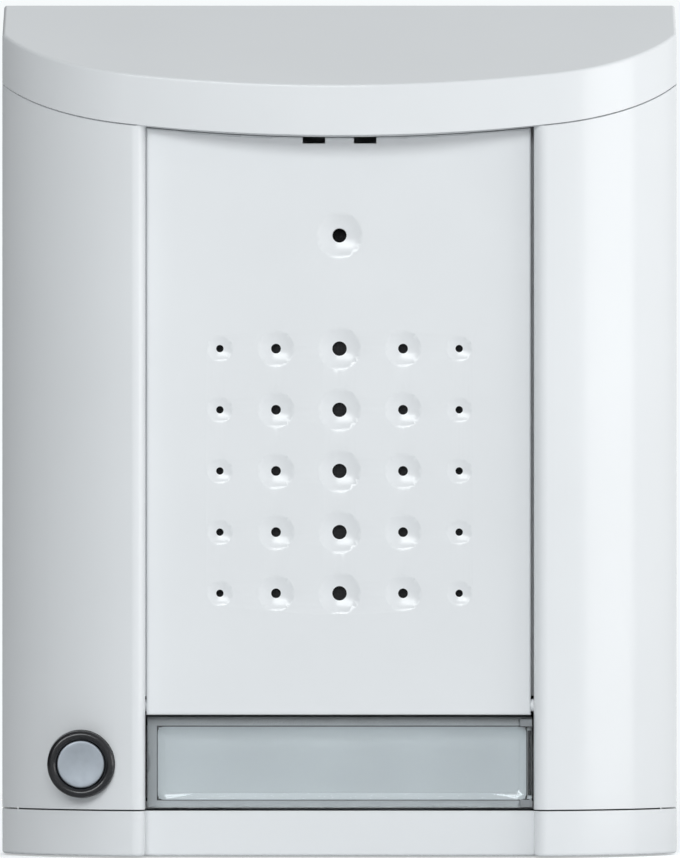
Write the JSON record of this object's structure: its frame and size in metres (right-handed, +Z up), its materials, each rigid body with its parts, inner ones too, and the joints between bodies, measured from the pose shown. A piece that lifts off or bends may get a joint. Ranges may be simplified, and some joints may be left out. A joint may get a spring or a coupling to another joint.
{
  "type": "intercom door station",
  "caption": "Wall-mounted audio door station with a sloping rain hood, dimpled sound grid, sprung call button, lit name field and a front panel that tips out.",
  "frame": {"origin": "centre of the base plate's flat back face, which lies on the wall", "axes": "+X to the right as seen from the front, +Y into the wall, +Z up; the front faces -Y"},
  "size_m": [0.11, 0.035, 0.1386],
  "materials": {
    "white_plastic": "glossy white moulded plastic",
    "base_plastic": "fine matt light grey moulding",
    "seal_rubber": "matt black rubber",
    "clear_plastic": "clear polished acrylic",
    "tray_plastic": "satin dark grey",
    "label_film": "matt grey film, bare",
    "screw_steel": "zinc plated",
    "spring_steel": "bright drawn wire",
    "black_plastic": "glossy black",
    "button_metal": "fine satin silver",
    "stem_plastic": "black glass-filled plastic",
    "board_laminate": "green solder resist",
    "led_laminate": "white solder resist",
    "led_lens": "clear lamp over yellow phosphor",
    "terminal_plastic": "satin green",
    "header_plastic": "natural nylon",
    "relay_case": "satin white case",
    "chip_plastic": "matt black moulding compound",
    "plunger_plastic": "satin red",
    "capacitor_can": "dark blue sleeve",
    "trimmer_plastic": "blue",
    "speaker_steel": "zinc plated sheet",
    "magnet_ferrite": "grey ferrite and steel",
    "cone_paper": "pressed black paper",
    "membrane_cloth": "fine black acoustic mesh",
    "gasket_foam": "closed-cell foam",
    "capsule_metal": "drawn aluminium"
  },
  "bodies": {
    "housing": {"base_plate": "base_plastic", "wall_gasket": "seal_rubber", "cable_grommet": "seal_rubber", "housing_shell": "white_plastic", "top_cap": "white_plastic", "bottom_cap": "white_plastic", "housing_screws": "screw_steel", "cap_screws": "screw_steel", "bottom_screws": "screw_steel", "main_board": "board_laminate", "board_screws": "screw_steel", "terminal_block": "terminal_plastic", "terminal_screws": "screw_steel", "plug_header": "header_plastic", "relay": "relay_case", "capacitors": "capacitor_can", "chips": "chip_plastic", "trimmers": "trimmer_plastic", "label_tray": "tray_plastic", "led_board": "led_laminate", "leds": "led_lens", "label_strip": "label_film", "button_ring": "black_plastic", "button_seal": "seal_rubber", "button_nut": "stem_plastic", "button_spring": "spring_steel", "button_board": "board_laminate", "button_board_screws": "screw_steel", "switch_body": "chip_plastic"},
    "call_button": {"button_cap": "button_metal", "button_stem": "stem_plastic", "retaining_clip": "spring_steel"},
    "switch_plunger": {"switch_plunger": "plunger_plastic"},
    "front_panel": {"front_panel": "white_plastic", "acoustic_membrane": "membrane_cloth", "speaker_gasket": "gasket_foam", "speaker_frame": "speaker_steel", "speaker_magnet": "magnet_ferrite", "speaker_cone": "cone_paper", "speaker_clamp": "speaker_steel", "speaker_screws": "screw_steel", "mic_boot": "seal_rubber", "mic_capsule": "capsule_metal"},
    "name_window": {"name_window": "clear_plastic"}
  },
  "joints": [
    {"name": "button_press", "type": "slide", "parent": "housing", "child": "call_button", "axis": [0, 1, 0], "range_m": [0, 0.001], "stiffness_N_per_m": 1200, "deforming": ["button_spring"]},
    {"name": "plunger_press", "type": "slide", "parent": "housing", "child": "switch_plunger", "axis": [0, 1, 0], "range_m": [0, 0.001]},
    {"name": "panel_tilt", "type": "hinge", "parent": "housing", "child": "front_panel", "pos_m": [0, -0.0262, -0.045], "axis": [1, 0, 0], "range_deg": [0, 35]},
    {"name": "window_swing", "type": "hinge", "parent": "housing", "child": "name_window", "pos_m": [0.0303, -0.0244, -0.05443], "axis": [0, 0, 1], "range_deg": [0, 30]}
  ],
  "couplings": [
    {"joint": "plunger_press", "follows": "button_press", "ratio": 1}
  ]
}
